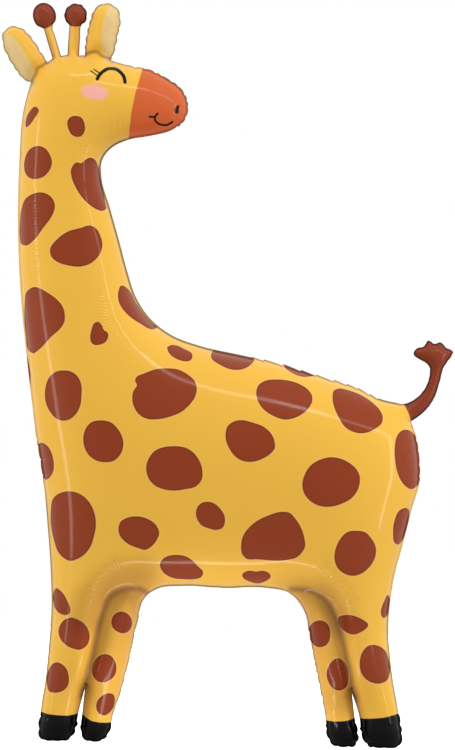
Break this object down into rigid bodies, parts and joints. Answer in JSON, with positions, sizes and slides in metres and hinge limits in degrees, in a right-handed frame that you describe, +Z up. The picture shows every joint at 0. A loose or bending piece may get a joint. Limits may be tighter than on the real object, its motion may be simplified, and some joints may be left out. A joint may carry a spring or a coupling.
{
  "type": "giraffe foil balloon",
  "caption": "Inflated foil balloon in the shape of a standing giraffe, seen side on with its head turned back, made of two printed foils welded round one outline.",
  "frame": {"origin": "on the floor under the hooves, at the middle of the balloon's box in X and in the plane of its weld in Y", "axes": "+X from the chest towards the tail and the way the snout points, +Y from the front foil to the back foil, +Z up"},
  "size_m": [0.6186, 0.1966, 0.9998],
  "materials": {
    "printed_foil": "glossy printed metallised film, yellow with brown spots and black hooves"
  },
  "bodies": {
    "root": {"giraffe_balloon": "printed_foil"}
  },
  "joints": []
}
